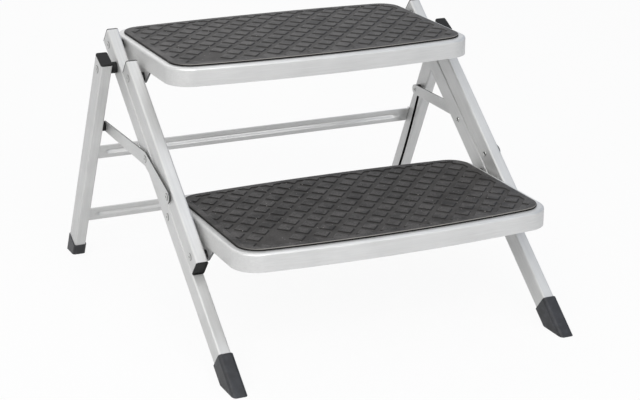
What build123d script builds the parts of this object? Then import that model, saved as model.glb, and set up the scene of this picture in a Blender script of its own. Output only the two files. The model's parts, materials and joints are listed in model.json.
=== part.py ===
from build123d import *
import os
from math import asin, atan2, cos, hypot, radians, sin

# A folding entry step with two treads on slanting tube legs. The treads, a link beside each leg
# and a cranked strut on each side form parallelograms, and a pin on each strut slides in a slot
# of the rear leg, so that the step folds in one movement. +Z is up, -Y is the side that is
# stepped on first, +X is on the right as seen from there, and the origin is on the floor.

# Treads
tread_width = 482.0
tread_depth = 290.0
front_bow = 14.0
rear_bow = 10.0
tread_rise = 195.0
tread_run = 244.0
lower_height = 190.0
pan_height = 27.0
pan_sheet = 1.2
pan_corner = 38.0
pan_edge = 4.0
mat_thickness = 3.0
mat_inset = 9.0
mat_bevel = 0.8
mat_border = 11.0
mat_recess = 0.8

# Tubes
tube_width = 18.0
tube_depth = 30.0
tube_wall = 1.5
tube_corner = 3.0

# Front legs and their links, along the tubes
floor_length = 650.0
pivot_drop = 13.0
pivot_setback = 227.7
leg_overrun = 17.0
link_gap = 0.6
link_overrun = 19.5
plug_flange = 2.0
plug_depth = 7.0
plug_bevel = 0.6
plug_rim = 1.8
plug_dish = 1.2
plug_dish_corner = 1.0

# Rear frame
hinge_drop = 42.5
rear_overrun = 16.5
rear_cap_flange = 3.0
rear_cap_bevel = 1.2
bar_height = 26.0
bar_sheet = 2.0
bar_setback = 10.0
bar_tab = 3.0
bar_bend = 3.0
bead_width = 11.0
bead_depth = 2.0
bead_slope = 35.0
bead_end_gap = 20.0
upper_bar_drop = 181.5
lower_bar_drop = 317.5

# Struts and their slots
crank_reach = 168.0
slot_pin_drop = 116.0
slot_pin_lead = 0.8
arm_radius = 10.3
arm_end_radius = 8.0
crank_radius = 10.0
strut_sheet = 2.0
slider_diameter = 15.0
slot_pin_diameter = 6.0
slot_pin_head_diameter = 7.6
slot_clearance = 0.3
fold_range = 136.0
rear_ratio = 0.5525
slot_steps = 12

# Feet
foot_sole = 4.0
front_foot_wall = 2.2
front_foot_height = 48.0
rear_foot_wall = 1.4
rear_foot_height = 28.0
foot_rim_bevel = 0.8

# Spacing across the step
tread_gap = 5.0
strut_gap = 1.8
rear_gap = 11.5

# Brackets and pivots
bracket_sheet = 3.0
bracket_lead = 30.0
bracket_tail = 16.0
bracket_margin = 3.0
ear_radius = 9.0
rivet_diameter = 7.0
rivet_head_diameter = 11.0
rivet_roll_diameter = 9.0
rivet_head = 1.2
hinge_rivet_diameter = 8.0
hinge_head_diameter = 12.0
hinge_roll_diameter = 10.0
spacer_diameter = 14.0
bush_diameter = 17.0

# Clearances
pivot_clearance = 0.05
side_clearance = 0.1
socket_clearance = 0.1

# Side view: points of the mechanism in the YZ plane, with the step open
leg_angle = atan2(tread_rise, tread_run)
leg_up = Vector(0, cos(leg_angle), sin(leg_angle))
front_foot_reach = tube_depth / 2 + front_foot_wall
rear_foot_reach = tube_depth / 2 + rear_foot_wall
leg_on_floor = Vector(0, front_foot_reach / sin(leg_angle) - floor_length / 2, 0)
lower_pivot = leg_on_floor + leg_up * ((lower_height - pivot_drop) / leg_up.Z)
upper_pivot = lower_pivot + Vector(0, tread_run, tread_rise)
hinge = upper_pivot - leg_up * hinge_drop
crank_pivot = hinge - leg_up * crank_reach

# The link's pivots halve the leg's angle, so that the link lies along the leg at both ends of
# the fold
link_spacing = tube_depth + link_gap
link_arm = link_spacing / sin(leg_angle / 2)
link_offset = Vector(0, -cos(leg_angle / 2), -sin(leg_angle / 2)) * link_arm
upper_link_pivot = upper_pivot + link_offset
lower_link_pivot = lower_pivot + link_offset
crank_link_pivot = crank_pivot + link_offset

# The rear leg runs from the hinge to the heel of its foot at the end of the floor length
heel = Vector(0, floor_length / 2, 0)
heel_angle = atan2(hinge.Z, heel.Y - hinge.Y)
rear_angle = heel_angle + asin(rear_foot_reach / hypot(hinge.Z, heel.Y - hinge.Y))
rear_up = Vector(0, -cos(rear_angle), sin(rear_angle))
rear_front = Vector(0, -sin(rear_angle), -cos(rear_angle))
rear_length = hinge.Z / sin(rear_angle)
rear_on_floor = hinge - rear_up * rear_length
slot_pin_place = hinge - rear_up * slot_pin_drop + rear_front * slot_pin_lead


def pin_place(fold):
    """Place of the strut's pin on the open rear leg, when the treads have folded by an angle."""
    pin = crank_pivot + (slot_pin_place - crank_pivot).rotate(Axis.X, -fold)
    return hinge + (pin - hinge).rotate(Axis.X, rear_ratio * fold)


slot_places = [pin_place(fold_range * step / slot_steps) for step in range(slot_steps + 1)]

# Planes across the step, as distances from its middle
pan_side = tread_width / 2
bracket_outer = pan_side - pan_sheet
bracket_inner = bracket_outer - bracket_sheet
leg_inner = pan_side + tread_gap
leg_outer = leg_inner + tube_width
leg_middle = leg_inner + tube_width / 2
strut_inner = leg_outer + strut_gap
strut_outer = strut_inner + strut_sheet
rear_inner = leg_outer + rear_gap
rear_outer = rear_inner + tube_width
rear_middle = rear_inner + tube_width / 2
rivet_hole = rivet_diameter + 2 * pivot_clearance
hinge_hole = hinge_rivet_diameter + 2 * pivot_clearance
slot_pin_hole = slot_pin_diameter + 2 * pivot_clearance
slot_width = slot_pin_diameter + 2 * slot_clearance
sides = {"left": -1, "right": 1}


def save(piece, label):
    """Label a finished piece and write it to its own file."""
    piece.label = label
    export_step(piece, f"parts/{label}.step")


def side_circles(places, diameter):
    """Circles at places of the side view, to cut holes across the step."""
    with BuildSketch(Plane.YZ) as circles:
        with Locations(*[(place.Y, place.Z) for place in places]):
            Circle(diameter / 2)
    return circles.sketch


def tread_outline(plane, inset):
    """Outline of a tread drawn in by an inset, with bowed front and rear edges and round corners."""
    side = tread_width / 2 - inset
    end = tread_depth / 2 - inset
    with BuildSketch(plane) as outline:
        with BuildLine():
            front = ThreePointArc((-side, front_bow - end), (0, -end), (side, front_bow - end))
            rear = ThreePointArc((side, end - rear_bow), (0, end), (-side, end - rear_bow))
            Line(front @ 1, rear @ 0)
            Line(rear @ 1, front @ 0)
        make_face()
        fillet(outline.vertices(), pan_corner - inset)
    return outline.sketch


def section(x, place, direction):
    """Plane square to a tube that passes a place of the side view."""
    return Plane(origin=(x, place.Y, place.Z), x_dir=(1, 0, 0), z_dir=direction)


def tube(plane, length, holes):
    """Rounded rectangular tube that stands on a section plane, with its cross holes."""
    with BuildPart() as piece:
        with BuildSketch(plane):
            RectangleRounded(tube_width, tube_depth, tube_corner)
            RectangleRounded(
                tube_width - 2 * tube_wall,
                tube_depth - 2 * tube_wall,
                tube_corner - tube_wall,
                mode=Mode.SUBTRACT,
            )
        extrude(amount=length)
        for outline in holes:
            extrude(outline, amount=rear_outer, both=True, mode=Mode.SUBTRACT)
    return piece.part


def leg(plane, length, holes):
    """Tube that is cut off level, where it stands on the sole of its foot."""
    with BuildPart() as piece:
        add(tube(plane, length, holes))
        split(bisect_by=Plane.XY.offset(foot_sole), keep=Keep.TOP)
    return piece.part


def plug(plane, flange, bevel):
    """End plug whose flange covers the end of a tube and whose stem goes into it."""
    stem_width = tube_width - 2 * tube_wall - 2 * socket_clearance
    stem_depth = tube_depth - 2 * tube_wall - 2 * socket_clearance
    with BuildPart() as piece:
        with BuildSketch(plane):
            RectangleRounded(tube_width, tube_depth, tube_corner)
        extrude(amount=flange)
        chamfer(piece.faces().sort_by(Axis(plane.origin, plane.z_dir))[-1].edges(), bevel)
        with BuildSketch(plane):
            RectangleRounded(stem_width, stem_depth, tube_corner - tube_wall)
        extrude(amount=-plug_depth)
    return piece.part


def dished_plug(plane):
    """End plug whose outer face is sunk inside a rim."""
    dish_width = tube_width - 2 * plug_rim
    dish_depth = tube_depth - 2 * plug_rim
    with BuildPart() as piece:
        add(plug(plane, plug_flange, plug_bevel))
        with BuildSketch(plane.offset(plug_flange)):
            RectangleRounded(dish_width, dish_depth, plug_dish_corner)
        extrude(amount=-plug_dish, mode=Mode.SUBTRACT)
    return piece.part


def foot(plane, height, wall, lead):
    """Boot round the lower end of a leg, cut off level at the floor."""
    with BuildPart() as socket:
        with BuildSketch(plane.offset(-lead)):
            RectangleRounded(
                tube_width + 2 * socket_clearance,
                tube_depth + 2 * socket_clearance,
                tube_corner + socket_clearance,
            )
        extrude(amount=height + lead)
        split(bisect_by=Plane.XY.offset(foot_sole), keep=Keep.TOP)
    with BuildPart() as piece:
        with BuildSketch(plane.offset(-lead)):
            RectangleRounded(tube_width + 2 * wall, tube_depth + 2 * wall, tube_corner + wall)
        extrude(amount=height + lead)
        chamfer(piece.faces().sort_by(Axis(plane.origin, plane.z_dir))[-1].edges(), foot_rim_bevel)
        split(bisect_by=Plane.XY, keep=Keep.TOP)
        add(socket.part, mode=Mode.SUBTRACT)
    return piece.part


def rings(places, bore):
    """Spacers across the step: each place is a side, a point and its start, end and diameter."""
    with BuildPart() as group:
        for side, place, start, end, diameter in places:
            with BuildSketch(Plane.YZ.offset(side * start)):
                with Locations((place.Y, place.Z)):
                    Circle(diameter / 2)
                    Circle(bore / 2, mode=Mode.SUBTRACT)
            extrude(amount=side * (end - start))
    return group.part


def rivets(places, diameter, head_diameter, roll_diameter):
    """Rivets across the step, each given by a side, a point and the two faces that it clamps.

    The outer end has a head, and the inner end is rolled over to a narrower one.
    """
    radius = diameter / 2
    head_radius = head_diameter / 2
    roll_radius = roll_diameter / 2
    with BuildPart() as group:
        for side, place, start, end in places:
            with BuildSketch(Plane(origin=place, x_dir=(side, 0, 0), z_dir=(0, -side, 0))):
                with BuildLine():
                    Polyline(
                        (start - rivet_head, 0),
                        (start - rivet_head, roll_radius - rivet_head),
                        (start, roll_radius),
                        (start, radius),
                        (end, radius),
                        (end, head_radius),
                        (end + rivet_head, head_radius - rivet_head),
                        (end + rivet_head, 0),
                        close=True,
                    )
                make_face()
            revolve(axis=Axis(place, (1, 0, 0)))
    return group.part


def crossbar(drop):
    """Pressed strip between the rear legs, with a bead along it and a bent tab at each end."""
    length = 2 * rear_inner
    bead_length = length - 2 * bead_end_gap
    middle = hinge - rear_up * drop - rear_front * bar_setback
    face = Plane(origin=middle, x_dir=(1, 0, 0), z_dir=rear_front)
    back = face.offset(-bar_sheet)
    bend = bar_sheet / 2
    with BuildPart() as bar:
        with BuildSketch(face):
            Rectangle(length, bar_height)
        extrude(amount=-bar_sheet)
        with BuildSketch(back):
            with Locations((bend - length / 2, 0), (length / 2 - bend, 0)):
                Rectangle(bar_sheet, bar_height)
        extrude(amount=-bar_tab)
        upright = bar.edges().filter_by(Axis((0, 0, 0), rear_up))
        fillet(upright.group_by(Axis(middle, rear_front))[-1], bar_bend)
        with BuildSketch(face):
            SlotOverall(bead_length, bead_width)
        extrude(amount=bead_depth, taper=bead_slope)
        with BuildSketch(back):
            SlotOverall(bead_length - bar_sheet, bead_width - bar_sheet)
        extrude(amount=bead_depth, taper=bead_slope, mode=Mode.SUBTRACT)
    return bar.part


os.makedirs("parts", exist_ok=True)

# Treads: a pressed pan with a mat on top and a bracket for the pivots inside each side wall
for level, pivot, link_pivot in (
    ("lower", lower_pivot, lower_link_pivot),
    ("upper", upper_pivot, upper_link_pivot),
):
    pan_top = pivot.Z + pivot_drop - mat_thickness
    pan_bottom = pan_top - pan_height
    pan_middle = pivot.Y - pivot_setback + tread_depth / 2
    pan_floor = Plane(origin=(0, pan_middle, pan_bottom))
    pan_face = Plane(origin=(0, pan_middle, pan_top))
    pivot_hole = side_circles([pivot], rivet_hole)
    link_hole = side_circles([link_pivot], rivet_hole)

    with BuildPart() as pan:
        extrude(tread_outline(pan_floor, 0), amount=pan_height)
        fillet(pan.faces().sort_by(Axis.Z)[-1].edges(), pan_edge)
        offset(amount=-pan_sheet, openings=pan.faces().sort_by(Axis.Z)[0])
        extrude(pivot_hole, amount=pan_side, both=True, mode=Mode.SUBTRACT)
    save(pan.part, f"{level}_tread_pan")

    mat_field = tread_outline(pan_face.offset(mat_thickness), mat_inset + mat_border)
    with BuildPart() as mat:
        extrude(tread_outline(pan_face, mat_inset), amount=mat_thickness)
        chamfer(mat.faces().sort_by(Axis.Z)[-1].edges(), mat_bevel)
        extrude(mat_field, amount=-mat_recess, mode=Mode.SUBTRACT)
    save(mat.part, f"{level}_tread_mat")

    strip_front = link_pivot.Y - bracket_lead
    strip_back = pivot.Y + bracket_tail
    strip_top = pan_top - pan_edge - side_clearance
    strip_bottom = pan_bottom + bracket_margin
    for hand, side in sides.items():
        with BuildPart() as bracket:
            with BuildSketch(Plane.YZ.offset(side * bracket_inner)):
                with Locations(((strip_front + strip_back) / 2, (strip_top + strip_bottom) / 2)):
                    Rectangle(strip_back - strip_front, strip_top - strip_bottom)
                with Locations((link_pivot.Y, link_pivot.Z)):
                    Circle(ear_radius)
                make_hull()
            extrude(amount=side * bracket_sheet)
            extrude(pivot_hole, amount=pan_side, both=True, mode=Mode.SUBTRACT)
            extrude(link_hole, amount=pan_side, both=True, mode=Mode.SUBTRACT)
        save(bracket.part, f"{level}_{hand}_bracket")

    spacer_end = leg_inner - side_clearance
    spacer_places = []
    for side in sides.values():
        spacer_places.append((side, pivot, pan_side, spacer_end, spacer_diameter))
        spacer_places.append((side, link_pivot, bracket_outer, spacer_end, spacer_diameter))
    save(rings(spacer_places, rivet_hole), f"{level}_tread_spacers")

# Front frame: legs with their plugs, feet, hinge bushes and rivets
leg_length = (upper_pivot - leg_on_floor).length + leg_overrun
leg_lead = front_foot_reach / sin(leg_angle)
leg_holes = [
    side_circles([lower_pivot, crank_pivot, upper_pivot], rivet_hole),
    side_circles([hinge], hinge_hole),
]
leg_top = leg_on_floor + leg_up * leg_length
for hand, side in sides.items():
    leg_foot = section(side * leg_middle, leg_on_floor, leg_up)
    leg_end = section(side * leg_middle, leg_top, leg_up)
    save(leg(leg_foot.offset(-leg_lead), leg_length + leg_lead, leg_holes), f"{hand}_front_leg")
    save(dished_plug(leg_end), f"{hand}_front_leg_plug")
    save(foot(leg_foot, front_foot_height, front_foot_wall, leg_lead), f"{hand}_front_foot")
    bush_place = (side, hinge, leg_outer, rear_inner - side_clearance, bush_diameter)
    save(rings([bush_place], hinge_hole), f"{hand}_hinge_bush")

hinge_places = []
crank_places = []
tread_places = []
for side in sides.values():
    hinge_places.append((side, hinge, leg_inner, rear_outer))
    crank_places.append((side, crank_pivot, leg_inner, strut_outer))
    tread_places.append((side, lower_pivot, bracket_inner, leg_outer))
    tread_places.append((side, upper_pivot, bracket_inner, leg_outer))
save(rivets(hinge_places, hinge_rivet_diameter, hinge_head_diameter, hinge_roll_diameter), "hinge_rivets")
save(rivets(crank_places, rivet_diameter, rivet_head_diameter, rivet_roll_diameter), "crank_rivets")
save(rivets(tread_places, rivet_diameter, rivet_head_diameter, rivet_roll_diameter), "tread_rivets")

# Links: a plugged tube in front of each leg, hung on both treads and on the strut
link_bottom = lower_link_pivot - leg_up * link_overrun
link_top = upper_link_pivot + leg_up * link_overrun
link_length = (link_top - link_bottom).length
link_holes = [side_circles([lower_link_pivot, crank_link_pivot, upper_link_pivot], rivet_hole)]
for hand, side in sides.items():
    link_end = section(side * leg_middle, link_bottom, leg_up)
    save(tube(link_end, link_length, link_holes), f"{hand}_link")
    save(dished_plug(link_end.offset(link_length)), f"{hand}_link_top_plug")
    lower_end = section(side * leg_middle, link_bottom, leg_up * -1)
    save(dished_plug(lower_end), f"{hand}_link_bottom_plug")
    link_places = [
        (side, lower_link_pivot, bracket_inner, leg_outer),
        (side, upper_link_pivot, bracket_inner, leg_outer),
        (side, crank_link_pivot, leg_inner, strut_outer),
    ]
    link_rivets = rivets(link_places, rivet_diameter, rivet_head_diameter, rivet_roll_diameter)
    save(link_rivets, f"{hand}_link_rivets")

# Struts: a cranked plate on each side, with washers, and a slider on the pin in the rear leg's slot
strut_holes = side_circles([crank_pivot, crank_link_pivot], rivet_hole)
strut_pin_hole = side_circles([slot_pin_place], slot_pin_hole)
for hand, side in sides.items():
    with BuildPart() as strut:
        for end, radius in ((slot_pin_place, arm_end_radius), (crank_link_pivot, crank_radius)):
            with BuildSketch(Plane.YZ.offset(side * strut_inner)):
                with Locations((crank_pivot.Y, crank_pivot.Z)):
                    Circle(arm_radius)
                with Locations((end.Y, end.Z)):
                    Circle(radius)
                make_hull()
            extrude(amount=side * strut_sheet)
        extrude(strut_holes, amount=rear_inner, both=True, mode=Mode.SUBTRACT)
        extrude(strut_pin_hole, amount=rear_inner, both=True, mode=Mode.SUBTRACT)
    save(strut.part, f"{hand}_strut")

    washer_start = leg_outer + side_clearance
    washer_places = [
        (side, crank_pivot, washer_start, strut_inner, spacer_diameter),
        (side, crank_link_pivot, washer_start, strut_inner, spacer_diameter),
    ]
    save(rings(washer_places, rivet_hole), f"{hand}_strut_washers")
    slider_place = (side, slot_pin_place, strut_outer, rear_inner - slot_clearance, slider_diameter)
    save(rings([slider_place], slot_pin_hole), f"{hand}_slider")
    pin_end = rear_inner + tube_wall + slot_clearance
    pin_places = [(side, slot_pin_place, strut_inner, pin_end)]
    slot_pin = rivets(pin_places, slot_pin_diameter, slot_pin_head_diameter, slot_pin_head_diameter)
    save(slot_pin, f"{hand}_slot_pin")

# Rear frame: slotted legs with caps and feet, joined by two crossbars
rear_lead = rear_foot_reach
rear_holes = [side_circles([hinge], hinge_hole)]
rear_top = hinge + rear_up * rear_overrun
for hand, side in sides.items():
    rear_foot_plane = section(side * rear_middle, rear_on_floor, rear_up)
    rear_end = section(side * rear_middle, rear_top, rear_up)
    blank_length = rear_length + rear_overrun + rear_lead
    with BuildPart() as rear_leg:
        add(leg(rear_foot_plane.offset(-rear_lead), blank_length, rear_holes))
        with BuildSketch(Plane.YZ.offset(side * rear_inner)):
            with BuildLine():
                Spline(*[(place.Y, place.Z) for place in slot_places])
            trace(line_width=slot_width)
            with Locations(*[(place.Y, place.Z) for place in (slot_places[0], slot_places[-1])]):
                Circle(slot_width / 2)
        extrude(amount=side * 2 * tube_wall, mode=Mode.SUBTRACT)
    save(rear_leg.part, f"{hand}_rear_leg")

    save(plug(rear_end, rear_cap_flange, rear_cap_bevel), f"{hand}_rear_leg_cap")
    save(foot(rear_foot_plane, rear_foot_height, rear_foot_wall, rear_lead), f"{hand}_rear_foot")

save(crossbar(upper_bar_drop), "upper_crossbar")
save(crossbar(lower_bar_drop), "lower_crossbar")
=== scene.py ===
"""Looks of a folding two-tread step: finishes, moulded and pressed surfaces, studio and camera."""

import json
import logging
from dataclasses import dataclass
from enum import Enum
from math import atan2, cos, pi, radians, sin
from typing import Any

import bpy
import numpy as np
from mathutils import Matrix, Vector

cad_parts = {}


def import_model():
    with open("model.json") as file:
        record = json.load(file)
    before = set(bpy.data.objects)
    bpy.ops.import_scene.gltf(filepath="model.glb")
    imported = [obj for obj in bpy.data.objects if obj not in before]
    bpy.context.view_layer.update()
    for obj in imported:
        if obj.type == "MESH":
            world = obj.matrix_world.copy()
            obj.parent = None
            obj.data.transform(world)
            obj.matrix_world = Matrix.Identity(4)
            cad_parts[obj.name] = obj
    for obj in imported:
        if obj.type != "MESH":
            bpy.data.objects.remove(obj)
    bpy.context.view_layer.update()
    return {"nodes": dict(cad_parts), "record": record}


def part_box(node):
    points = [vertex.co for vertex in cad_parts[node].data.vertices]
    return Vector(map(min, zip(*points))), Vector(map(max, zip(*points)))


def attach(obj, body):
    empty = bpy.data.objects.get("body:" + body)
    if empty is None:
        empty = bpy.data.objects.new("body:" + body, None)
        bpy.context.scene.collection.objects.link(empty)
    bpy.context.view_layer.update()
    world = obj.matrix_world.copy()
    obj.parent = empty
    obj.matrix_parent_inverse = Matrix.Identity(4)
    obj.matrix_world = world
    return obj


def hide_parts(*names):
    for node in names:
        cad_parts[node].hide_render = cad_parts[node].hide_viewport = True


LOG = logging.getLogger("entry_step")
MM = 0.001
PHOTO_WIDTH = 640
SENSOR_WIDTH = 36.0
SHARP_ANGLE = radians(50.0)
PAD_LEVEL = "pad_level"
SHADED_CREASE = "crease"
WHITE = "#FFFFFF"
LEVELS = ("upper", "lower")
SIDES = {"left": -1, "right": 1}
# Numbers of the colour sockets of a Mix node
MIX_FIRST, MIX_SECOND, MIX_RESULT = 6, 7, 2

Array = np.ndarray
Pair = tuple[float, float]
Triple = tuple[float, float, float]
Item = bpy.types.Object
Material = bpy.types.Material
Tree = bpy.types.NodeTree
Socket = bpy.types.NodeSocket


def linear(hex_colour: str) -> tuple[float, float, float, float]:
    """Turn an sRGB hex colour into linear light, by the curve of the sRGB standard.

    Args:
        hex_colour: six hex digits after a hash sign.

    Returns:
        Red, green, blue and an alpha of one, in linear light.
    """
    code = hex_colour.lstrip("#")
    values = [int(code[i:i + 2], 16) / 255 for i in (0, 2, 4)]
    red, green, blue = [v / 12.92 if v <= 0.04045 else ((v + 0.055) / 1.055) ** 2.4 for v in values]
    return red, green, blue, 1.0


def per_metre(size_mm: float) -> float:
    """Scale of a pattern on Object coordinates whose features are a real size in millimetres apart."""
    return 1.0 / (size_mm * MM)


def add_node(
    tree: Tree, kind: str, inputs: dict[str | int, Any] | None = None, **settings: Any,
) -> bpy.types.Node:
    """Add a node, give it its settings and fill or link its sockets.

    Args:
        tree: node tree that takes the node.
        kind: node class, such as ShaderNodeTexNoise.
        inputs: socket name or number, with a value or the socket that it is linked to.
        settings: attributes of the node.

    Returns:
        The new node.
    """
    node = tree.nodes.new(kind)
    for name, value in settings.items():
        setattr(node, name, value)
    for name, value in (inputs or {}).items():
        if isinstance(value, Socket):
            tree.links.new(value, node.inputs[name])
        else:
            node.inputs[name].default_value = value
    return node


def maths(tree: Tree, operation: str, *values: Socket | float) -> Socket:
    """Result of an operation on numbers, or on sockets that give them."""
    return add_node(tree, "ShaderNodeMath", dict(enumerate(values)), operation=operation).outputs[0]


def ranged(tree: Tree, value: Socket, source: Pair, target: Pair = (0.0, 1.0), **settings: Any) -> Socket:
    """Number carried from its source range to a target range, and held beyond both ends."""
    ends = {"From Min": source[0], "From Max": source[1], "To Min": target[0], "To Max": target[1]}
    return add_node(tree, "ShaderNodeMapRange", {"Value": value, **ends}, **settings).outputs["Result"]


def mix(tree: Tree, factor: Socket, first: Socket | str, second: Socket | str) -> Socket:
    """Mix two colours, with the factor held between nought and one.

    Args:
        tree: node tree that takes the node.
        factor: nought for the first colour, one for the second.
        first: hex colour, or a socket that gives a colour.
        second: the same for the second colour.

    Returns:
        The mixed colour.
    """
    start, end = (linear(colour) if isinstance(colour, str) else colour for colour in (first, second))
    inputs = {"Factor": factor, MIX_FIRST: start, MIX_SECOND: end}
    return add_node(tree, "ShaderNodeMix", inputs, data_type="RGBA").outputs[MIX_RESULT]


def noise(tree: Tree, place: Socket, scale: float, detail: float = 2.0, roughness: float = 0.5) -> Socket:
    """Cloudy pattern from nought to one, whose scale is its clouds in a unit of length."""
    inputs = {"Vector": place, "Scale": scale, "Detail": detail, "Roughness": roughness}
    return add_node(tree, "ShaderNodeTexNoise", inputs).outputs["Fac"]


def bump(tree: Tree, height: Socket, strength: float, depth_mm: float) -> Socket:
    """Normal of a surface that a pattern of heights makes uneven, by a depth in millimetres."""
    inputs = {"Height": height, "Strength": strength, "Distance": depth_mm * MM}
    return add_node(tree, "ShaderNodeBump", inputs).outputs["Normal"]


def new_material(name: str) -> tuple[Material, Tree, Socket]:
    """Make an empty node material.

    Args:
        name: the material's name.

    Returns:
        The material, its node tree and the Object coordinates of what wears it.
    """
    material = bpy.data.materials.new(name)
    material.use_nodes = True
    tree = material.node_tree
    tree.nodes.clear()
    return material, tree, add_node(tree, "ShaderNodeTexCoord").outputs["Object"]


def shade(tree: Tree, sockets: dict[str | int, Any]) -> None:
    """Finish a material with one Principled shader, filled or linked by its sockets, and its output."""
    shader = add_node(tree, "ShaderNodeBsdfPrincipled", sockets)
    add_node(tree, "ShaderNodeOutputMaterial", {"Surface": shader.outputs["BSDF"]})


@dataclass(frozen=True)
class SilverPaint:
    """Silver stoving paint on drawn or rolled steel.

    Aluminium flakes in the paint give the eye a satin metal with bright edges and a faint sparkle, and
    the grain of the steel below shows as faint streaks along the piece. Names that end in mm are in
    millimetres. The grain has its own axes, at a turn about X round a place in metres.
    """

    name: str
    colour: str = "#DADAD9"
    shade_colour: str = "#CCCCCB"
    tone_range: Pair = (0.65, 1.35)
    metallic: float = 0.45
    roughness: Pair = (0.33, 0.43)
    ripple: float = 0.12
    ripple_mm: float = 0.05
    place: Triple = (0.0, 0.0, 0.0)
    turn: float = 0.0
    streak_mm: Triple = (90.0, 2.4, 2.4)
    flake_mm: float = 1.0
    drift_mm: float = 60.0
    bore_mm: float = 0.0
    bore_shade_halves_mm: tuple[Pair, ...] = ()
    bore_shade_colour: str = "#0B0B0B"
    edge_shade_colour: str | None = None
    edge_facing: float = 0.6

    def material(self) -> Material:
        """Make the material: streaks and drift in the tone, flakes in the gloss and a faint ripple.

        Returns:
            The paint.
        """
        material, tree, place = new_material(self.name)
        local = add_node(
            tree, "ShaderNodeMapping",
            {"Vector": place, "Location": self.place, "Rotation": (self.turn, 0.0, 0.0)},
            vector_type="TEXTURE",
        ).outputs["Vector"]
        drawn = add_node(
            tree, "ShaderNodeMapping", {"Vector": local, "Scale": tuple(map(per_metre, self.streak_mm))},
        ).outputs["Vector"]
        streaks = noise(tree, drawn, 1.0, detail=3.0, roughness=0.6)
        drift = noise(tree, place, per_metre(self.drift_mm))
        tone = ranged(tree, maths(tree, "ADD", streaks, drift), self.tone_range)
        colour = mix(tree, tone, self.shade_colour, self.colour)
        # Real flakes are some hundredths of a millimetre, so they are drawn coarser to show at all
        flakes = add_node(tree, "ShaderNodeTexVoronoi", {"Vector": place, "Scale": per_metre(self.flake_mm)})
        # Painted shade: the rear tubes' insides and the cut edges of their slots turn near-black
        if self.bore_shade_halves_mm:
            colour = mix(tree, self.bore_shade_mask(tree, local), colour, self.bore_shade_colour)
        # Painted shade on the edges of struts and brackets, for the dark gap beside them
        if self.edge_shade_colour:
            colour = mix(tree, self.edge_shade_mask(tree), colour, self.edge_shade_colour)
        shade(tree, {
            "Base Color": colour,
            "Metallic": self.metallic,
            "Roughness": ranged(tree, flakes.outputs["Color"], (0.0, 1.0), self.roughness),
            "Normal": bump(tree, streaks, self.ripple, self.ripple_mm),
        })
        return material

    def bore_shade_mask(self, tree: Tree, local: Socket) -> Socket:
        """Mask of the tubes' insides and slots, which take a near-black painted shade.

        Two boxes stand round the middle plane of each tube: one for its inside and one for its slot.
        Both keep clear of the tube's outside.

        Args:
            tree: the material's node tree.
            local: coordinates along the grain's own axes.

        Returns:
            One in a box on either side of the step, and nought elsewhere.
        """
        axes = add_node(tree, "ShaderNodeSeparateXYZ", {"Vector": local}).outputs
        across = maths(tree, "ABSOLUTE", axes["X"])
        boxes = []
        for half_width, half_depth in self.bore_shade_halves_mm:
            near = maths(tree, "COMPARE", across, self.bore_mm * MM, half_width * MM)
            within = maths(tree, "COMPARE", axes["Z"], 0.0, half_depth * MM)
            boxes.append(maths(tree, "MULTIPLY", near, within))
        return maths(tree, "MAXIMUM", *boxes)

    def edge_shade_mask(self, tree: Tree) -> Socket:
        """Mask of a plate's edges, which take a dark painted shade.

        Args:
            tree: the material's node tree.

        Returns:
            One on faces that look along the plate, and nought on its two sides.
        """
        facing = add_node(tree, "ShaderNodeTexCoord").outputs["Normal"]
        axes = add_node(tree, "ShaderNodeSeparateXYZ", {"Vector": facing}).outputs
        return maths(tree, "LESS_THAN", maths(tree, "ABSOLUTE", axes["X"]), self.edge_facing)


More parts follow.
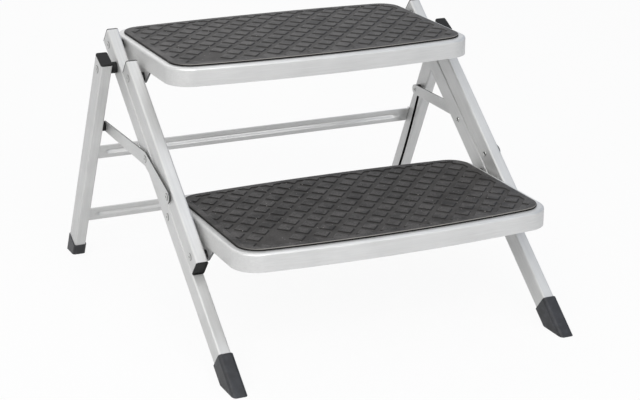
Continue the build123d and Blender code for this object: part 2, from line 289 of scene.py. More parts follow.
@dataclass(frozen=True)
class MouldedRubber:
    """Compression-moulded black rubber: a dull charcoal with a bloom on it and pale painted glints.

    The mats' own level says where it lies: nought between the pads, one on them, and two on the rim where
    it looks to the front, which takes a pale painted highlight. Halfway between nought and one are the
    pads' flanks, which take a dark painted shade.
    """

    name: str = "moulded_rubber"
    colour: str = "#302F2F"
    bloom_colour: str = "#5B5958"
    groove_colour: str = "#393736"
    dust_colour: str = "#504E4D"
    dust_range: Pair = (0.16, 0.34)
    flank_shade_colour: str = "#1D1C1B"
    rim_highlight_colour: str = "#93908C"
    glint_colour: str = "#94918D"
    glint_radius: float = 0.09
    glint_share: float = 0.5
    roughness: float = 0.47
    groove_roughness: float = 0.55
    gloss_range: Pair = (0.3, 0.7)
    gloss_swing: Pair = (-0.06, 0.06)
    pore_strength: float = 0.35
    pore_mm: float = 0.1
    grain_mm: float = 2.2
    bloom_mm: float = 30.0
    glint_mm: float = 8.5

    def material(self) -> Material:
        """Make the material: bloom and grain in the tone, painted shade on the flanks, a painted highlight
        on the rim, painted glints and pores.

        Returns:
            The rubber.
        """
        material, tree, place = new_material(self.name)
        level = add_node(tree, "ShaderNodeAttribute", attribute_name=PAD_LEVEL).outputs["Fac"]
        bloom = noise(tree, place, per_metre(self.bloom_mm), detail=4.0, roughness=0.6)
        # The mould's real grain is some tenths of a millimetre, so it is drawn coarser to show at all
        grain = noise(tree, place, per_metre(self.grain_mm), roughness=0.7)
        dust = ranged(tree, maths(tree, "MULTIPLY", bloom, grain), self.dust_range)
        top = mix(tree, dust, self.colour, self.bloom_colour)
        bottom = mix(tree, dust, self.groove_colour, self.dust_colour)
        # Four times the level times one less the level is one halfway up a flank, where the painted shade is
        # darkest
        midway = maths(tree, "MULTIPLY", maths(tree, "SUBTRACT", 1.0, level), level)
        flank = maths(tree, "MULTIPLY", midway, 4.0)
        colour = mix(tree, flank, mix(tree, level, bottom, top), self.flank_shade_colour)
        # A pale painted highlight on the rim where it looks to the front
        colour = mix(tree, maths(tree, "SUBTRACT", level, 1.0), colour, self.rim_highlight_colour)
        # Painted glints: pale specks on some cells of a coarse pattern
        cells = add_node(tree, "ShaderNodeTexVoronoi", {"Vector": place, "Scale": per_metre(self.glint_mm)})
        small = maths(tree, "LESS_THAN", cells.outputs["Distance"], self.glint_radius)
        some = maths(tree, "GREATER_THAN", cells.outputs["Color"], self.glint_share)
        colour = mix(tree, maths(tree, "MULTIPLY", small, some), colour, self.glint_colour)
        dull = ranged(tree, level, (0.0, 1.0), (self.groove_roughness, self.roughness))
        uneven = ranged(tree, grain, self.gloss_range, self.gloss_swing)
        shade(tree, {
            "Base Color": colour,
            "Roughness": maths(tree, "ADD", dull, uneven),
            "IOR": 1.5,
            "Specular IOR Level": 0.1,
            "Normal": bump(tree, grain, self.pore_strength, self.pore_mm),
        })
        return material


@dataclass(frozen=True)
class MouldedPlastic:
    """Injection-moulded black plastic: a soft black with an eroded mould's fine grain and pale scuffs."""

    name: str
    colour: str
    worn_colour: str
    worn_range: Pair = (0.45, 0.75)
    roughness: Pair = (0.37, 0.52)
    gloss_range: Pair = (0.0, 0.8)
    specular: float = 0.5
    pit_strength: float = 0.25
    pit_mm: float = 0.06
    grain_mm: float = 0.9
    scuff_mm: float = 16.0

    def material(self) -> Material:
        """Make the material: grain in the gloss and the bump, and slightly paler scuffs.

        Returns:
            The plastic.
        """
        material, tree, place = new_material(self.name)
        scuff = noise(tree, place, per_metre(self.scuff_mm), detail=5.0, roughness=0.65)
        grain = add_node(
            tree, "ShaderNodeTexVoronoi", {"Vector": place, "Scale": per_metre(self.grain_mm)},
            feature="SMOOTH_F1",
        ).outputs["Distance"]
        shade(tree, {
            "Base Color": mix(tree, ranged(tree, scuff, self.worn_range), self.colour, self.worn_colour),
            "Roughness": ranged(tree, grain, self.gloss_range, self.roughness),
            "IOR": 1.49,
            "Specular IOR Level": self.specular,
            "Normal": bump(tree, grain, self.pit_strength, self.pit_mm),
        })
        return material


@dataclass(frozen=True)
class ZincPlate:
    """Zinc-plated steel, barrel polished: a bright grey metal with faint clouds and painted shade in its
    creases.
    """

    name: str = "zinc_plated_steel"
    colour: str = "#DCDCDA"
    cloud_colour: str = "#BFC0BE"
    crease_shade_colour: str = "#2A2A2A"
    roughness: Pair = (0.2, 0.36)
    gloss_range: Pair = (0.3, 0.7)
    cloud_mm: float = 5.0

    def material(self) -> Material:
        """Make the material: cloudy plating whose duller patches are also rougher.

        Returns:
            The plated steel.
        """
        material, tree, place = new_material(self.name)
        cloud = noise(tree, place, per_metre(self.cloud_mm), detail=3.0)
        crease = add_node(tree, "ShaderNodeAttribute", attribute_name=SHADED_CREASE).outputs["Fac"]
        plating = mix(tree, cloud, self.colour, self.cloud_colour)
        shade(tree, {
            # Painted shade in the rivets' creases, holes and dimples
            "Base Color": mix(tree, crease, plating, self.crease_shade_colour),
            "Metallic": 1.0,
            "Roughness": ranged(tree, cloud, self.gloss_range, self.roughness),
        })
        return material


class Slot(Enum):
    """Material slots of the record."""

    SILVER = "silver_paint"
    RUBBER = "mat_rubber"
    PLASTIC = "black_plastic"
    ZINC = "zinc_steel"


class Grain(Enum):
    """Ways that the painted steel was drawn, rolled or cut."""

    FRONT_TUBE = "drawn_front_tube"
    REAR_TUBE = "drawn_rear_tube"
    SHEET = "pressed_sheet"
    PLATE = "sheared_plate"
    STRIP = "rolled_strip"

    @classmethod
    def of(cls, name: str) -> "Grain":
        """Grain of a painted CAD node or new piece.

        Args:
            name: the name of the node or piece.

        Returns:
            The grain.
        """
        if "rear_leg" in name:
            return cls.REAR_TUBE
        if "strut" in name or "bracket" in name:
            return cls.PLATE
        if "crossbar" in name:
            return cls.STRIP
        return cls.FRONT_TUBE if "front_leg" in name or "link" in name else cls.SHEET


@dataclass(frozen=True)
class SideView:
    """Points of the mechanism in the side view, as pairs of Y and Z in metres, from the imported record."""

    upper: Array
    lower: Array
    link: Array
    crank: Array
    hinge: Array
    rear_sole: Array

    @classmethod
    def of(cls, record: dict[str, Any]) -> "SideView":
        """Read the points.

        Args:
            record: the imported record.

        Returns:
            The points.
        """
        joints = {joint["name"]: np.array(joint["pos_m"][1:]) for joint in record["behaviour"]["joints"]}
        mounts = {mount["name"]: np.array(mount["pos_m"][1:]) for mount in record["mounts"]}
        return cls(
            joints["upper_tread_fold"], joints["lower_tread_fold"], joints["left_link_pivot"],
            joints["left_strut_pivot"], joints["rear_frame_fold"], mounts["left_rear_foot_sole"],
        )

    @property
    def leg_turn(self) -> float:
        """Turn about X of the front legs and links, in radians."""
        run, rise = self.upper - self.lower
        return atan2(rise, run)

    @property
    def rear_turn(self) -> float:
        """Turn about X of the rear legs, in radians."""
        run, rise = self.hinge - self.rear_sole
        return atan2(rise, run)

    @property
    def rear_up(self) -> Array:
        """Way up along the rear legs, of length one."""
        return np.array([cos(self.rear_turn), sin(self.rear_turn)])

    @property
    def rear_front(self) -> Array:
        """Way out of the rear legs' front faces, of length one."""
        return np.array([-sin(self.rear_turn), cos(self.rear_turn)])

    @property
    def link_offset(self) -> Array:
        """Way from a pivot on the legs to the matching pivot on the links."""
        return self.link - self.upper


class Wardrobe:
    """The materials, made once and shared by every piece of the same finish.

    The bare sizes are in millimetres: the grain of drawn tube, and how far the painted-shade masks of a
    rear tube's inside and slot stay from its sides and reach from its middle to the front and rear.
    """

    TUBE_GRAIN = (2.4, 90.0, 2.4)
    BORE_INSET, BORE_REACH = 1.4, 13.6
    SLOT_INSET, SLOT_REACH = 0.15, 11.5

    def __init__(self, side_view: SideView) -> None:
        """Make the materials.

        Args:
            side_view: the mechanism's points, which turn the grain along the tubes.
        """
        low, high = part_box("right_rear_leg")
        half = (high.x - low.x) / 2 / MM
        bore = (half - self.BORE_INSET, self.BORE_REACH)
        slot = (half - self.SLOT_INSET, self.SLOT_REACH)
        paints = {
            Grain.FRONT_TUBE: SilverPaint(
                "silver_paint_on_drawn_tube", turn=side_view.leg_turn, streak_mm=self.TUBE_GRAIN,
            ),
            # Rear tubes, with a near-black painted shade inside them and in their slots
            Grain.REAR_TUBE: SilverPaint(
                "silver_paint_on_rear_tube", place=(0.0, *side_view.hinge), turn=side_view.rear_turn,
                streak_mm=self.TUBE_GRAIN, bore_mm=(low.x + high.x) / 2 / MM, bore_shade_halves_mm=(bore, slot),
            ),
            Grain.SHEET: SilverPaint("silver_paint_on_pressed_sheet"),
            # Struts and brackets, with a dark painted shade on their edges
            Grain.PLATE: SilverPaint("silver_paint_on_sheared_plate", edge_shade_colour="#555656"),
            Grain.STRIP: SilverPaint(
                "silver_paint_on_rolled_strip", metallic=0.8, roughness=(0.29, 0.39), ripple=0.02,
            ),
        }
        finishes = {
            Slot.RUBBER: MouldedRubber(),
            Slot.PLASTIC: MouldedPlastic(
                "moulded_polyethylene", "#0E0E0E", "#1C1C1D", roughness=(0.45, 0.6), specular=0.3,
            ),
            Slot.ZINC: ZincPlate(),
        }
        self.painted = {grain: paint.material() for grain, paint in paints.items()}
        self.materials = {slot: finish.material() for slot, finish in finishes.items()}
        self.foot_plastic = MouldedPlastic("moulded_polypropylene", "#26272A", "#3A3B40").material()
        # Spacers and washers get a dark grey plating
        rings = ZincPlate("black_passivated_zinc", "#3C3C3C", "#2B2B2B", roughness=(0.39, 0.55))
        self.ring_plate = rings.material()

    def dress_cad(self, nodes: dict[str, Item]) -> None:
        """Give every CAD node the finish of its own slot.

        Args:
            nodes: CAD objects by name.
        """
        for name, node in nodes.items():
            for index, old in enumerate(node.data.materials):
                slot = Slot(old.name.split(".")[0])
                material = self.finish_of(name, slot)
                node.data.materials[index] = material
                LOG.info("%s wears %s", name, material.name)

    def finish_of(self, name: str, slot: Slot) -> Material:
        """Finish of a CAD node or a new piece.

        Args:
            name: the name of the node or piece.
            slot: its slot.

        Returns:
            The material.
        """
        if slot is Slot.SILVER:
            return self.painted[Grain.of(name)]
        if name.endswith("_foot"):
            return self.foot_plastic
        return self.ring_plate if name.endswith(("_spacers", "_washers")) else self.materials[slot]

    def dress(self, piece: Item, slot: Slot) -> None:
        """Give a new piece the finish of its slot."""
        piece.data.materials.append(self.finish_of(piece.name, slot))


def make_object(name: str, points: Array, faces: list[Array]) -> Item:
    """Put arrays of points and faces into a mesh object at the origin, smooth but for its sharp edges.

    Args:
        name: the object's name.
        points: one row of three coordinates for each vertex, in metres.
        faces: arrays of vertex numbers, one row for each face of that array's size.

    Returns:
        The object, linked to the scene.
    """
    mesh = bpy.data.meshes.new(name)
    loops = np.concatenate([block.ravel() for block in faces]).astype(np.int32)
    sizes = np.concatenate([np.full(len(block), block.shape[1]) for block in faces]).astype(np.int32)
    starts = np.concatenate([[0], np.cumsum(sizes)[:-1]]).astype(np.int32)
    mesh.vertices.add(len(points))
    mesh.vertices.foreach_set("co", points.astype(np.float32).ravel())
    mesh.loops.add(len(loops))
    mesh.loops.foreach_set("vertex_index", loops)
    mesh.polygons.add(len(sizes))
    mesh.polygons.foreach_set("loop_start", starts)
    mesh.polygons.foreach_set("use_smooth", np.ones(len(sizes), bool))
    mesh.update(calc_edges=True)
    mesh.set_sharp_from_angle(angle=SHARP_ANGLE)
    mesh.validate()
    piece = bpy.data.objects.new(name, mesh)
    bpy.context.scene.collection.objects.link(piece)
    return piece


def mark_points(piece: Item, name: str, values: Array) -> None:
    """Give each point of a piece a number, which its material reads by the attribute's name."""
    attribute = piece.data.attributes.new(name, "FLOAT", "POINT")
    attribute.data.foreach_set("value", values.astype(np.float32))


def grid_faces(rows: int, columns: int, wrap: bool = False) -> Array:
    """Quads of a grid of points that are numbered row by row.

    Args:
        rows: number of rows.
        columns: number of points in a row.
        wrap: join the last column to the first.

    Returns:
        One row of four vertex numbers for each quad, anticlockwise where rows go up and columns right.
    """
    columns_joined = columns if wrap else columns - 1
    row, column = np.meshgrid(np.arange(rows - 1), np.arange(columns_joined), indexing="ij")
    here, right = row * columns + column, row * columns + (column + 1) % columns
    return np.stack([corner.ravel() for corner in (here, right, right + columns, here + columns)], axis=1)


def grid_outline(rows: int, columns: int) -> Array:
    """Numbers of the points round a grid, anticlockwise where rows go up and columns right."""
    number = np.arange(rows * columns).reshape(rows, columns)
    return np.concatenate([number[0, :-1], number[:-1, -1], number[-1, :0:-1], number[:0:-1, 0]])


def ease(value: Array) -> Array:
    """Smooth step from nought to one, held beyond both ends."""
    held = np.clip(value, 0.0, 1.0)
    return held * held * (3.0 - 2.0 * held)


@dataclass
class TreadMat:
    """Moulded rubber mat on a tread: square pads set cornerwise inside a smooth border, round at the edge.

    Sizes are in millimetres. Places are measured from the middle of the mat and its top.
    """

    level: str
    corner: float = 29.0
    front_bow: float = 14.0
    rear_bow: float = 10.0
    edge_radius: float = 1.4
    border: float = 10.0
    border_slope: float = 2.5
    pad_across: float = 36.5
    pad_along: float = 41.5
    pad_x: float = 2.6
    pad_y: float = 66.8
    pad_half: float = 8.7
    flank: float = 1.8
    relief: float = 1.1
    patch_x: float = -172.0
    patch_from_front: float = 39.0
    patch_width: float = 52.0
    patch_depth: float = 54.0
    wall_start: float = 1.01
    wall_shade_level: float = 0.5
    rim_highlight_rings: int = 3
    rim_highlight_level: float = 2.0
    spacing: float = 1.2
    edge_steps: int = 5

    def build(self, wardrobe: Wardrobe) -> Item:
        """Build the mat in place of its CAD solid.

        Args:
            wardrobe: the finishes.

        Returns:
            The mat.
        """
        low, high = (np.array(corner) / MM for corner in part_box(f"{self.level}_tread_mat"))
        points, faces, levels = self.surface(high - low)
        middle = np.array([(low[0] + high[0]) / 2, (low[1] + high[1]) / 2, high[2]])
        piece = make_object(f"{self.level}_mat_relief", (points + middle) * MM, faces)
        mark_points(piece, PAD_LEVEL, levels)
        wardrobe.dress(piece, Slot.RUBBER)
        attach(piece, f"{self.level}_tread")
        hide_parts(f"{self.level}_tread_mat")
        return piece

    def plan(self, size: Array) -> tuple[Array, Array, Array]:
        """Grid of the top's points, seen from above.

        It starts on a rounded rectangle, whose rows run across it and end on its outline, set in by the
        edge radius. Each half is then stretched towards its end of the mat, by the bow times one less
        the square of the place across, and less towards the middle.

        Args:
            size: width, depth and thickness.

        Returns:
            Places across and along the mat, and distances from its outline.
        """
        half_x = size[0] / 2 - self.edge_radius
        front = self.edge_radius + self.front_bow - size[1] / 2
        rear = size[1] / 2 - self.rear_bow - self.edge_radius
        half_y = (rear - front) / 2
        radius = self.corner - self.edge_radius
        rows = int(round(2 * half_y / self.spacing)) + 1
        columns = int(round(2 * half_x / self.spacing)) + 1
        v = np.linspace(-half_y, half_y, rows)
        into_corner = np.maximum(np.abs(v) - (half_y - radius), 0.0)
        reach = half_x - radius + np.sqrt(radius**2 - into_corner**2)
        x = np.linspace(-1.0, 1.0, columns)[None, :] * reach[:, None]
        v = np.broadcast_to(v[:, None], x.shape)
        share = v / half_y
        bow = np.where(share < 0.0, self.front_bow, self.rear_bow) * share * (1.0 - (x / half_x) ** 2)
        beyond_x = np.abs(x) - (half_x - radius)
        beyond_y = np.abs(v) - (half_y - radius)
        outside = np.hypot(np.maximum(beyond_x, 0.0), np.maximum(beyond_y, 0.0))
        from_edge = self.corner - outside - np.minimum(np.maximum(beyond_x, beyond_y), 0.0)
        return x, (front + rear) / 2 + v + bow, from_edge

    def surface(self, size: Array) -> tuple[Array, list[Array], Array]:
        """Closed surface of the mat.

        The outer loop of the top is carried out and down a quarter circle, square to its own tangent,
        and down to the underside, which is one flat face. The level that colours the rubber rises with
        the height, from nought between the pads to one on them. It is a half on the wall, which takes
        painted shade, and rises to two on the rim where that looks to the front, which takes a painted
        highlight.

        Args:
            size: width, depth and thickness.

        Returns:
            Points, arrays of faces, and levels.
        """
        x, y, from_edge = self.plan(size)
        top = np.stack([x, y, self.height(x, y, from_edge, -size[1] / 2)], axis=-1).reshape(-1, 3)
        loop = grid_outline(*x.shape)
        outline = top[loop, :2]
        tangent = np.roll(outline, -1, axis=0) - np.roll(outline, 1, axis=0)
        outward = np.stack([tangent[:, 1], -tangent[:, 0]], axis=1)
        outward /= np.linalg.norm(outward, axis=1, keepdims=True)
        turn = np.linspace(0.0, pi / 2, self.edge_steps + 1)[1:]
        out = np.append(np.sin(turn), 1.0) * self.edge_radius
        drop = np.append((np.cos(turn) - 1.0) * self.edge_radius, -size[2])
        skirt = np.empty((len(out), len(loop), 3))
        skirt[..., :2] = outline[None] + out[:, None, None] * outward[None]
        skirt[..., 2] = drop[:, None]
        numbers = len(top) + np.arange(skirt[..., 0].size).reshape(len(out), -1)
        rings = np.concatenate([loop[None], numbers])
        nexts = np.roll(rings, -1, axis=1)
        sides = np.stack([rings[1:], nexts[1:], nexts[:-1], rings[:-1]], axis=-1).reshape(-1, 4)
        underside = rings[-1][None, ::-1]
        points = np.concatenate([top, skirt.reshape(-1, 3)])
        levels = np.clip(1.0 + points[:, 2] / self.relief, 0.0, 1.0)
        # The mat's side wall takes the flanks' dark painted shade
        levels[points[:, 2] < -self.wall_start * self.relief] = self.wall_shade_level
        # The rim's top rings take a painted highlight where they look to the front
        rim = levels[len(top):].reshape(len(out), -1)[:self.rim_highlight_rings]
        rim += np.clip(-outward[:, 1], 0.0, 1.0) * (self.rim_highlight_level - rim)
        return points, [grid_faces(*x.shape), sides, underside], levels

    def height(self, x: Array, y: Array, from_edge: Array, front: float) -> Array:
        """Height of the top below the mat's highest level.

        Two families of diagonal bands cross, and a pad stands where they meet. A point's height is the
        relief, times a smooth step of how far it lies inside the nearest band of each family. Towards
        the outline, a smooth step of the distance from it lifts the floor to the level of the pads. The
        pads whose middles lie in an oval patch are left out.

        Args:
            x: places across the mat.
            y: places along the mat.
            from_edge: distances from the mat's outline.
            front: place of the mat's front.

        Returns:
            Heights, nought at the highest level and negative below it.
        """
        pitch = 1.0 / np.hypot(1.0 / self.pad_across, 1.0 / self.pad_along)
        falling = (x - self.pad_x) / self.pad_across + (y - self.pad_y) / self.pad_along
        rising = (x - self.pad_x) / self.pad_across - (y - self.pad_y) / self.pad_along
        foot = self.pad_half + self.flank
        nearest_falling, nearest_rising = np.round(falling), np.round(rising)
        in_falling = ease((foot - np.abs(falling - nearest_falling) * pitch) / self.flank)
        in_rising = ease((foot - np.abs(rising - nearest_rising) * pitch) / self.flank)
        rim = 1.0 - ease((from_edge - self.border) / self.border_slope)
        pad_x = self.pad_x + self.pad_across * (nearest_falling + nearest_rising) / 2
        pad_y = self.pad_y + self.pad_along * (nearest_falling - nearest_rising) / 2
        patch_y = front + self.patch_from_front
        oval = 2 * np.hypot((pad_x - self.patch_x) / self.patch_width, (pad_y - patch_y) / self.patch_depth)
        level = np.maximum(in_falling * in_rising * (oval > 1.0), rim)
        return self.relief * (level - 1.0)


@dataclass
class Crossbar:
    """Pressed steel strip between the rear legs, with a bent tab at each end and a groove along its face.

    Sizes are in millimetres. The groove's ends are stretched along the strip by a factor.
    """

    level: str
    side_view: SideView
    sheet: float = 2.0
    tab: float = 3.0
    bend: float = 3.0
    height: float = 26.0
    groove_width: float = 12.5
    groove_depth: float = 4.6
    groove_end: float = 17.0
    groove_stretch: float = 2.0
    groove_drop: float = 0.4
    spacing: float = 2.0
    rows: int = 53
    bend_steps: int = 6

    def build(self, wardrobe: Wardrobe) -> Item:
        """Build the crossbar in place of its CAD solid.

        Args:
            wardrobe: the finishes.

        Returns:
            The crossbar.
        """
        low, high = (np.array(corner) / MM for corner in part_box(f"{self.level}_crossbar"))
        across, upward, outward, faces = self.surface((high[0] - low[0]) / 2)
        up, front = self.side_view.rear_up, self.side_view.rear_front
        face_middle = (low + high)[1:] / 2 + front * (self.sheet + self.tab) / 2
        side = face_middle + upward[:, None] * up + outward[:, None] * front
        points = np.column_stack([across + (low[0] + high[0]) / 2, side])
        piece = make_object(f"{self.level}_crossbar_pressed", points * MM, faces)
        wardrobe.dress(piece, Slot.SILVER)
        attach(piece, "rear_frame")
        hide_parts(f"{self.level}_crossbar")
        return piece

    def surface(self, half: float) -> tuple[Array, Array, Array, list[Array]]:
        """Closed surface of the strip.

        Seen along the legs, the front follows a tab, a quarter circle, the face, a quarter circle and a
        tab, and the back runs a sheet's thickness behind it. The groove sinks both by its depth times
        the squared cosine of a quarter turn for the distance from its middle line to its edge.

        Args:
            half: half of the strip's length.

        Returns:
            Places across the step, up the legs and out of the face, and arrays of faces.
        """
        turn = np.linspace(0.0, pi / 2, self.bend_steps)
        flat = np.arange(-half + self.bend + self.spacing, half - self.bend, self.spacing)
        none, one = np.zeros(len(flat)), np.ones(len(flat))
        left = np.stack([
            np.append(-half, -half + self.bend * (1.0 - np.cos(turn))),
            np.append(-self.sheet - self.tab, self.bend * (np.sin(turn) - 1.0)),
            np.append(-1.0, -np.cos(turn)),
            np.append(0.0, np.sin(turn)),
        ])
        right = left[:, ::-1] * np.array([-1.0, 1.0, -1.0, 1.0])[:, None]
        x, out, normal_x, normal_out = np.hstack([left, [flat, none, none, one], right])
        upward = np.linspace(-self.height / 2, self.height / 2, self.rows)[:, None]
        radius = self.groove_width / 2
        end = half - self.groove_end - self.groove_stretch * radius
        past_end = np.maximum(np.abs(x) - end, 0.0)[None, :] / self.groove_stretch
        share = np.clip(np.hypot(past_end, upward + self.groove_drop) / radius, 0.0, 1.0)
        sunk = self.groove_depth * np.cos(share * pi / 2) ** 2
        depths = np.stack([sunk, sunk + self.sheet])
        across, outward = (x - normal_x * depths).ravel(), (out - normal_out * depths).ravel()
        heights = np.tile(np.broadcast_to(upward, sunk.shape).ravel(), 2)
        loop = grid_outline(*sunk.shape)
        following = np.roll(loop, -1)
        behind = sunk.size
        front = grid_faces(*sunk.shape)
        edges = np.stack([loop, loop + behind, following + behind, following], axis=1)
        return across, heights, outward, [front, front[:, ::-1] + behind, edges]


@dataclass
class RivetRow:
    """Formed rivets that stand for one CAD node: a dimpled dome outside, and a rolled hollow end inside.

    Sizes are in millimetres, and the dimple's floor is a share of the dimple's width. A place is a side,
    a point of the side view in metres and the two faces that the rivet clamps, as distances from the
    middle of the step in metres.
    """

    node: str
    body: str
    places: list[tuple[int, Array, float, float]]
    shank: float = 7.0
    head: float = 11.0
    roll: float = 9.0
    head_height: float = 1.2
    roll_height: float = 1.1
    hole: float = 4.4
    hole_depth: float = 2.6
    rim: float = 0.3
    dimple: float = 3.4
    dimple_floor: float = 0.35
    dimple_depth: float = 0.7
    around: int = 40
    arc_steps: int = 9

    def build(self, wardrobe: Wardrobe) -> Item:
        """Build the rivets in place of their CAD solids.

        Args:
            wardrobe: the finishes.

        Returns:
            The rivets.
        """
        points, faces, creased = self.surface()
        piece = make_object(f"{self.node}_formed", points * MM, faces)
        mark_points(piece, SHADED_CREASE, creased)
        wardrobe.dress(piece, Slot.ZINC)
        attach(piece, self.body)
        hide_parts(self.node)
        return piece

    def profile(self) -> tuple[Array, Array, Array, Array]:
        """Half section of a rivet, from the bottom of its hole to the middle of its dome.

        The rolled end is half an ellipse from the hole's edge to the roll's edge. The dome is a quarter
        of an ellipse above a narrow rim, down to the dimple's edge, and the dimple has a flat bottom.

        Returns:
            Radii, distances along the axis, whether a distance counts from the outer face, and whether
            a point lies in a crease that takes painted shade.
        """
        half_turn = np.linspace(0.0, pi, self.arc_steps)
        quarter = np.linspace(0.0, np.arccos(self.dimple / self.head), self.arc_steps)
        ring = (self.roll - self.hole) / 4
        roll_radii = (self.roll + self.hole) / 4 - ring * np.cos(half_turn)
        radii = np.concatenate([
            [0.0, self.hole / 2], roll_radii, [self.shank / 2, self.shank / 2, self.head / 2],
            self.head / 2 * np.cos(quarter), [self.dimple * self.dimple_floor, 0.0],
        ])
        dome = self.rim + (self.head_height - self.rim) * np.sin(quarter)
        along = np.concatenate([
            [self.hole_depth, self.hole_depth], -self.roll_height * np.sin(half_turn), [0.0, 0.0, 0.0],
            dome, np.full(2, self.head_height - self.dimple_depth),
        ])
        number = np.arange(len(radii))
        on_shank = self.arc_steps + 2
        under_head = on_shank + 2
        in_hole, in_dimple = number < 2, number >= len(radii) - 2
        on_rim = (number >= under_head) & (number <= under_head + 2)
        creased = in_hole | (number == on_shank - 1) | on_rim | in_dimple
        return radii, along, number > on_shank, creased

    def surface(self) -> tuple[Array, list[Array], Array]:
        """Closed surfaces of all the rivets: the half section turned about each rivet's axis.

        Returns:
            Points, arrays of faces, and whether each point lies in a crease.
        """
        radii, along, outer, creased = self.profile()
        sides, middles, starts, ends = zip(*self.places)
        side = np.array(sides, float)[:, None, None]
        middle = np.array(middles) / MM
        start, end = (np.array(clamped)[:, None, None] / MM for clamped in (starts, ends))
        angle = np.linspace(0.0, 2 * pi, self.around, endpoint=False)[None, None, :]
        inner_rows = slice(1, -1)
        r = radii[None, inner_rows, None]
        axial = along[None, :, None] + start + outer[None, :, None] * (end - start)
        rows = len(radii) - 2
        body = np.empty((len(self.places), rows, self.around, 3))
        body[..., 0] = side * axial[:, inner_rows]
        body[..., 1] = middle[:, 0, None, None] + r * np.cos(angle)
        body[..., 2] = middle[:, 1, None, None] + side * r * np.sin(angle)
        poles = np.empty((len(self.places), 2, 3))
        poles[..., 0] = side[:, :, 0] * axial[:, [0, -1], 0]
        poles[..., 1:] = middle[:, None, :]
        points = np.concatenate([body.reshape(len(self.places), -1, 3), poles], axis=1)
        count = rows * self.around
        around = np.arange(self.around)
        nexts = np.roll(around, -1)
        last = count - self.around
        first_fan = np.stack([np.full(self.around, count), nexts, around], axis=1)
        last_fan = np.stack([np.full(self.around, count + 1), last + around, last + nexts], axis=1)
        shift = (np.arange(len(self.places)) * (count + 2))[:, None, None]
        quads = (grid_faces(rows, self.around, wrap=True)[None] + shift).reshape(-1, 4)
        fans = (np.concatenate([first_fan, last_fan])[None] + shift).reshape(-1, 3)
        in_crease = np.concatenate([np.repeat(creased[inner_rows], self.around), creased[[0, -1]]])
        return points.reshape(-1, 3), [quads, fans], np.tile(in_crease, len(self.places))


class Riveting:
    """All the rivets of the step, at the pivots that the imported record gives, and its two slot pins."""

    def __init__(self, side_view: SideView) -> None:
        """Lay out the rivets and pins.

        Args:
            side_view: the mechanism's points.
        """
        leg_low, leg_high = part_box("right_front_leg")
        strut_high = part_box("right_strut")[1].x
        bracket_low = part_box("upper_right_bracket")[0].x
        rear_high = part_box("right_rear_leg")[1].x
        upper_link = side_view.link
        lower_link = side_view.lower + side_view.link_offset
        crank_link = side_view.crank + side_view.link_offset
        hinges = [(side, side_view.hinge, leg_low.x, rear_high) for side in SIDES.values()]
        cranks = [(side, side_view.crank, leg_low.x, strut_high) for side in SIDES.values()]
        treads = [
            (side, place, bracket_low, leg_high.x)
            for side in SIDES.values() for place in (side_view.lower, side_view.upper)
        ]
        self.rows = [
            RivetRow("hinge_rivets", "front_frame", hinges, shank=8.0, head=12.0, roll=10.0),
            RivetRow("crank_rivets", "front_frame", cranks),
            RivetRow("tread_rivets", "front_frame", treads),
        ]
        for hand, side in SIDES.items():
            links = [
                (side, lower_link, bracket_low, leg_high.x),
                (side, upper_link, bracket_low, leg_high.x),
                (side, crank_link, leg_low.x, strut_high),
            ]
            self.rows.append(RivetRow(f"{hand}_link_rivets", f"{hand}_link", links))
            self.rows.append(self.slot_pin(hand, side))

    @staticmethod
    def slot_pin(hand: str, side: int) -> RivetRow:
        """Pin at the rear end of a strut, which runs in the slot of the rear leg.

        Args:
            hand: left or right, as the names say it.
            side: the sign of X on that side.

        Returns:
            The pin.
        """
        low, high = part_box(f"{hand}_slot_pin")
        place = np.array((low + high) / 2)[1:]
        near, far = sorted(abs(end) for end in (low.x, high.x))
        cap = RivetRow.head_height * MM
        places = [(side, place, near + cap, far - cap)]
        return RivetRow(
            f"{hand}_slot_pin", f"{hand}_strut", places,
            shank=6.0, head=7.6, roll=7.6, hole=3.4, dimple=2.4,
        )


@dataclass
class Softbox:
    """Area lamp that faces a point, with its size and place in metres and its power in watts."""

    name: str
    place: Triple
    width: float
    height: float
    power: float
    colour: str = WHITE
    target: Triple = (0.0, 0.0, 0.2)

    def build(self) -> None:
        """Make the lamp."""
        data = bpy.data.lights.new(self.name, "AREA")
        data.shape = "RECTANGLE"
        data.size = self.width
        data.size_y = self.height
        data.energy = self.power
        data.color = linear(self.colour)[:3]
        lamp = bpy.data.objects.new(self.name, data)
        lamp.location = self.place
        aim = Vector(self.target) - Vector(self.place)
        lamp.rotation_euler = aim.to_track_quat("-Z", "Y").to_euler()
        bpy.context.scene.collection.objects.link(lamp)


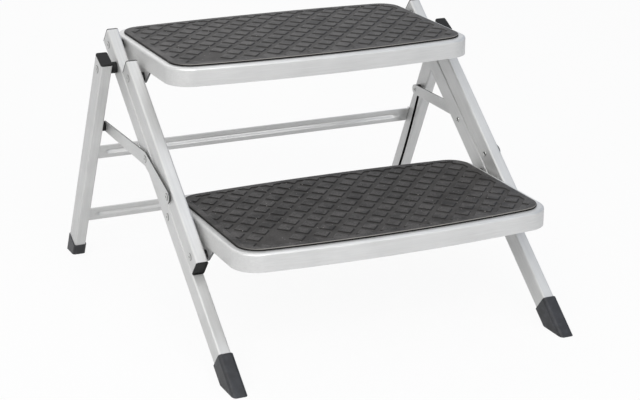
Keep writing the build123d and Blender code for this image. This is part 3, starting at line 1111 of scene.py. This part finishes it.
@dataclass
class Studio:
    """Pale floor, soft lamps and white surroundings, and the camera at the photograph's viewing angle.

    Lengths are in metres, or in millimetres where the name says so, and angles in degrees. The camera's
    focal length is in pixels of the photograph.
    """

    floor_size: float = 60.0
    floor_colour: str = "#F0F0F0"
    fibre_colour: str = "#F6F6F6"
    fibre_mm: float = 40.0
    floor_glow: float = 0.92
    floor_glint: float = 0.3
    screen_colour: str = "#BFC7D4"
    screen_start: float = 0.3
    screen_full: float = 0.62
    sky_strength: float = 0.5
    camera_place: Triple = (-1.09483, -2.37950, 1.03145)
    camera_yaw: float = -24.8951
    camera_pitch: float = -18.7387
    camera_roll: float = 0.3858
    camera_focal: float = 1823.47
    lamps: tuple[Softbox, ...] = (
        Softbox("front_softbox", (-0.6, -2.9, 2.3), 1.8, 1.4, 40.0),
        Softbox("low_softbox", (1.35, -2.95, 0.78), 1.4, 0.5, 6.0),
        Softbox("left_softbox", (-2.4, -1.8, 2.4), 2.4, 2.0, 34.0),
        Softbox("top_softbox", (0.8, -0.95, 3.2), 1.6, 1.6, 5.0, "#EEF3FF"),
        Softbox("rear_softbox", (0.0, 2.6, 2.6), 3.0, 2.0, 16.0),
    )

    def build(self) -> None:
        """Build the floor, surroundings, camera and lamps."""
        self.build_floor()
        self.build_world()
        self.build_camera()
        for lamp in self.lamps:
            lamp.build()
        bpy.context.scene.view_settings.view_transform = "Standard"

    @staticmethod
    def seen_white(tree: Tree, direct: float, mirrored: float) -> Socket:
        """Share of white that rays of the camera, and rays of reflections and glass, are given.

        Args:
            tree: node tree of the floor or the surroundings.
            direct: share for rays of the camera.
            mirrored: share for rays of reflections and glass.

        Returns:
            The share, nought for all other rays.
        """
        path = add_node(tree, "ShaderNodeLightPath").outputs
        bounced = maths(tree, "MAXIMUM", path["Is Glossy Ray"], path["Is Transmission Ray"])
        share = maths(tree, "MULTIPLY", bounced, mirrored)
        return maths(tree, "MULTIPLY_ADD", path["Is Camera Ray"], direct, share)

    def build_floor(self) -> None:
        """Matt paper floor: part of its light is a white glow to the camera, and the rest takes shadow."""
        half = self.floor_size / 2
        corners = np.array([(-half, -half, 0), (half, -half, 0), (half, half, 0), (-half, half, 0)], float)
        floor = make_object("studio_floor", corners, [np.array([[0, 1, 2, 3]])])
        material, tree, place = new_material("matt_floor_paper")
        fibre = noise(tree, place, per_metre(self.fibre_mm))
        colour = mix(tree, fibre, self.floor_colour, self.fibre_colour)
        paper = add_node(tree, "ShaderNodeBsdfDiffuse", {"Color": colour})
        glow = add_node(tree, "ShaderNodeEmission", {"Color": linear(WHITE), "Strength": 1.0})
        share = self.seen_white(tree, self.floor_glow, self.floor_glint)
        surface = add_node(tree, "ShaderNodeMixShader", {0: share, 1: paper.outputs[0], 2: glow.outputs[0]})
        add_node(tree, "ShaderNodeOutputMaterial", {"Surface": surface.outputs[0]})
        floor.data.materials.append(material)

    def build_world(self) -> None:
        """White surroundings with a grey screen on the right, which light the object and show in gloss."""
        world = bpy.data.worlds.new("white_surroundings")
        world.use_nodes = True
        tree = world.node_tree
        tree.nodes.clear()
        way = add_node(tree, "ShaderNodeTexCoord").outputs["Generated"]
        axes = add_node(tree, "ShaderNodeSeparateXYZ", {"Vector": way}).outputs
        screen = ranged(
            tree, axes["X"], (self.screen_start, self.screen_full), interpolation_type="SMOOTHSTEP",
        )
        colour = mix(tree, screen, WHITE, self.screen_colour)
        light = add_node(tree, "ShaderNodeBackground", {"Color": colour, "Strength": self.sky_strength})
        white = add_node(tree, "ShaderNodeBackground", {"Color": colour, "Strength": 1.0})
        share = self.seen_white(tree, 1.0, 1.0)
        seen = add_node(tree, "ShaderNodeMixShader", {0: share, 1: light.outputs[0], 2: white.outputs[0]})
        add_node(tree, "ShaderNodeOutputWorld", {"Surface": seen.outputs[0]})
        bpy.context.scene.world = world

    def build_camera(self) -> None:
        """Camera that stands at a place and looks along its yaw, pitch and roll."""
        yaw, pitch, roll = (radians(a) for a in (self.camera_yaw, self.camera_pitch, self.camera_roll))
        ahead = Vector((-sin(yaw) * cos(pitch), cos(yaw) * cos(pitch), sin(pitch)))
        level = Vector((cos(yaw), sin(yaw), 0.0))
        over = level.cross(ahead)
        right = level * cos(roll) + over * sin(roll)
        up = over * cos(roll) - level * sin(roll)
        data = bpy.data.cameras.new("photo_camera")
        data.sensor_fit = "HORIZONTAL"
        data.sensor_width = SENSOR_WIDTH
        data.lens = self.camera_focal / PHOTO_WIDTH * SENSOR_WIDTH
        camera = bpy.data.objects.new("photo_camera", data)
        turn = Matrix((right, up, -ahead)).transposed().to_4x4()
        camera.matrix_world = Matrix.Translation(self.camera_place) @ turn
        bpy.context.scene.collection.objects.link(camera)
        bpy.context.scene.camera = camera


def main() -> None:
    """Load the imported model, dress it, build its new pieces and set up the studio."""
    logging.basicConfig(level=logging.INFO, format="%(message)s")
    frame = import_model()
    side_view = SideView.of(frame["record"])
    wardrobe = Wardrobe(side_view)
    wardrobe.dress_cad(frame["nodes"])
    mats = [TreadMat(level) for level in LEVELS]
    bars = [Crossbar(level, side_view) for level in LEVELS]
    for part in (*mats, *bars, *Riveting(side_view).rows):
        piece = part.build(wardrobe)
        LOG.info("%s has %d faces", piece.name, len(piece.data.polygons))
    Studio().build()
    LOG.info("studio built")


if __name__ == "__main__":
    main()
